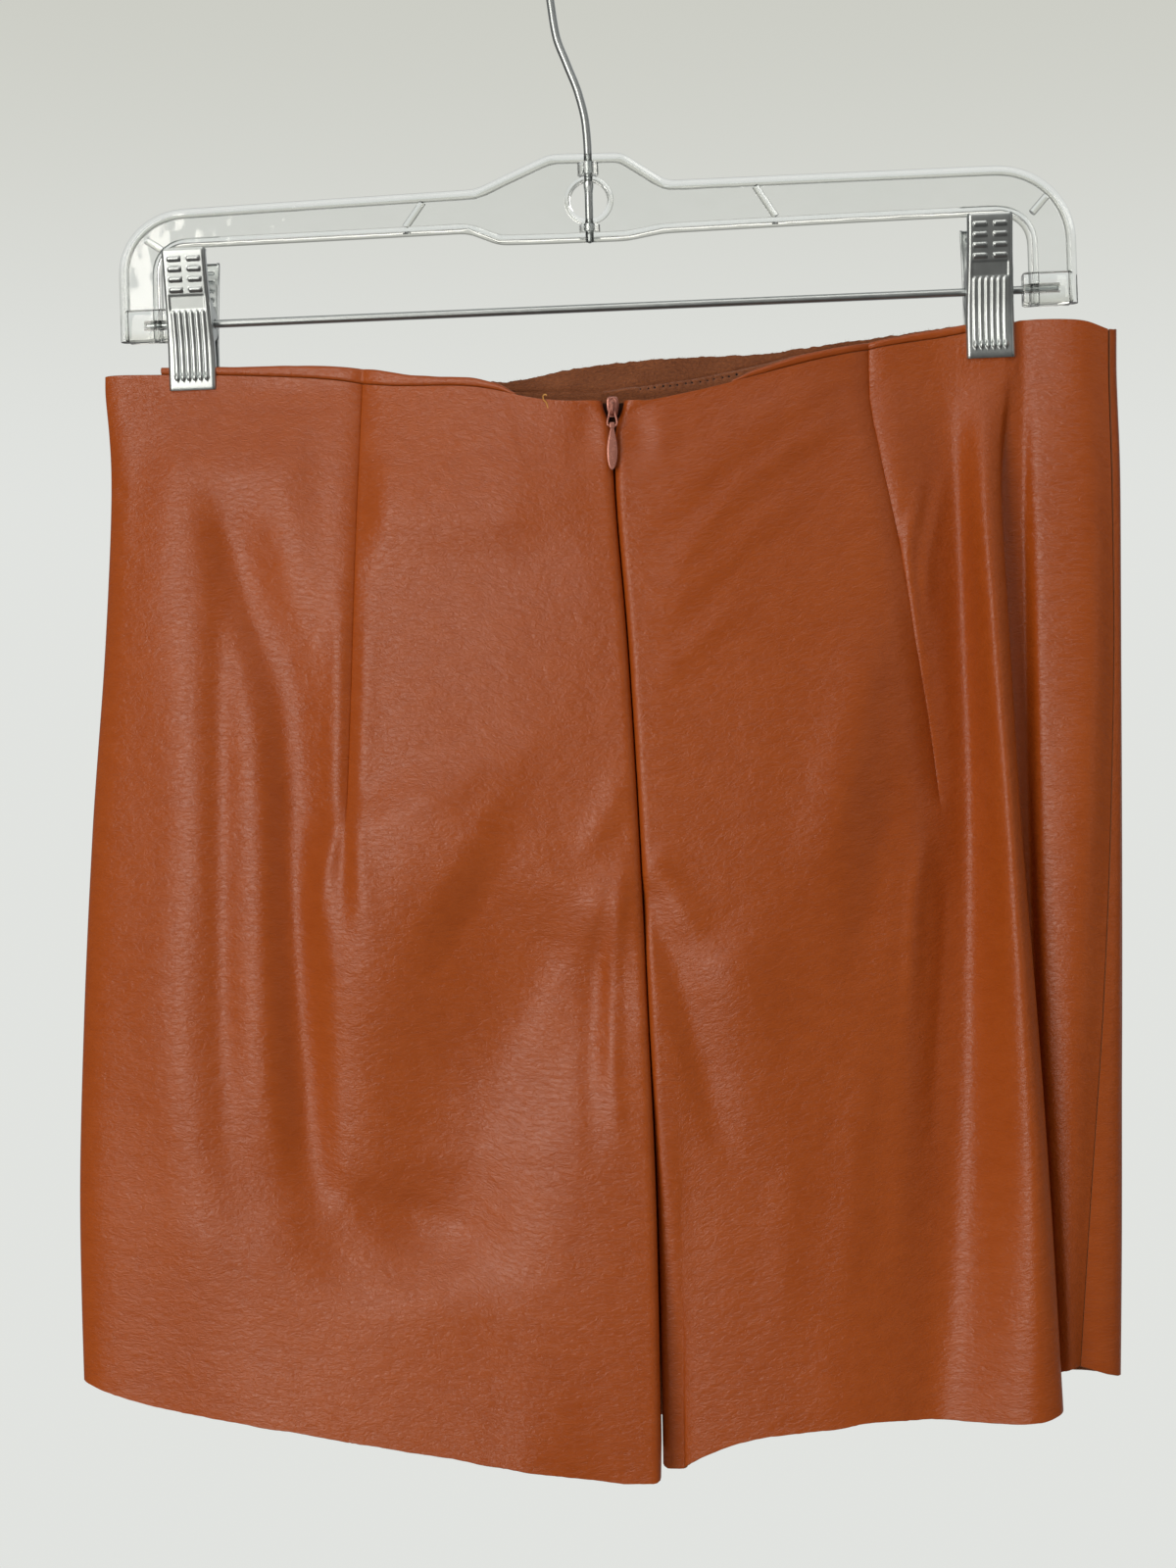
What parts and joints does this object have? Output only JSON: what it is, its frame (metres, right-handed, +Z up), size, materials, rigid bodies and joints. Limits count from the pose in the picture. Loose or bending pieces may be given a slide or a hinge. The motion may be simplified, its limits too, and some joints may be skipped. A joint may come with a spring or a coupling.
{
  "type": "skort on clip hanger",
  "caption": "Faux-leather skort with a concealed centre-back zip and a skirt panel over shorts, clipped by its waist to a clear hanger with a wire hook.",
  "frame": {"origin": "the point where the inside of the hanger's hook rests on a rail", "axes": "+Z up, the zipped back of the garment faces -Y, its front +Y, and the wearer's right side is at +X"},
  "size_m": [0.3887, 0.0483, 0.5812],
  "materials": {
    "faux_leather": "semi-gloss coated cloth with a fine wavy grain",
    "suede_reverse": "matt brushed reverse of the coated cloth",
    "zip_tape": "matt woven tape",
    "painted_zip_metal": "satin paint",
    "clear_plastic": "clear and polished",
    "zinc_plated_steel": "bright zinc plate"
  },
  "bodies": {
    "skort_on_hanger": {"back_left": "faux_leather", "back_right": "faux_leather", "front_skirt": "faux_leather", "front_left": "faux_leather", "front_right": "faux_leather", "front_facing": "suede_reverse", "back_facing_left": "faux_leather", "back_facing_right": "faux_leather", "zip_tape": "zip_tape", "zip_slider": "painted_zip_metal", "hanger_frame": "clear_plastic", "hanger_hook": "zinc_plated_steel", "hanger_bar": "zinc_plated_steel", "clip_left_jaw_back": "zinc_plated_steel", "clip_left_jaw_front": "zinc_plated_steel", "clip_left_spring": "zinc_plated_steel", "clip_right_jaw_back": "zinc_plated_steel", "clip_right_jaw_front": "zinc_plated_steel", "clip_right_spring": "zinc_plated_steel"},
    "zip_tab": {"zip_pull": "painted_zip_metal"}
  },
  "joints": [
    {"name": "tab_swing", "type": "hinge", "parent": "skort_on_hanger", "child": "zip_tab", "pos_m": [0.0097, -0.0249, -0.1903], "axis": [-1, 0, 0], "range_deg": [0, 160]}
  ]
}
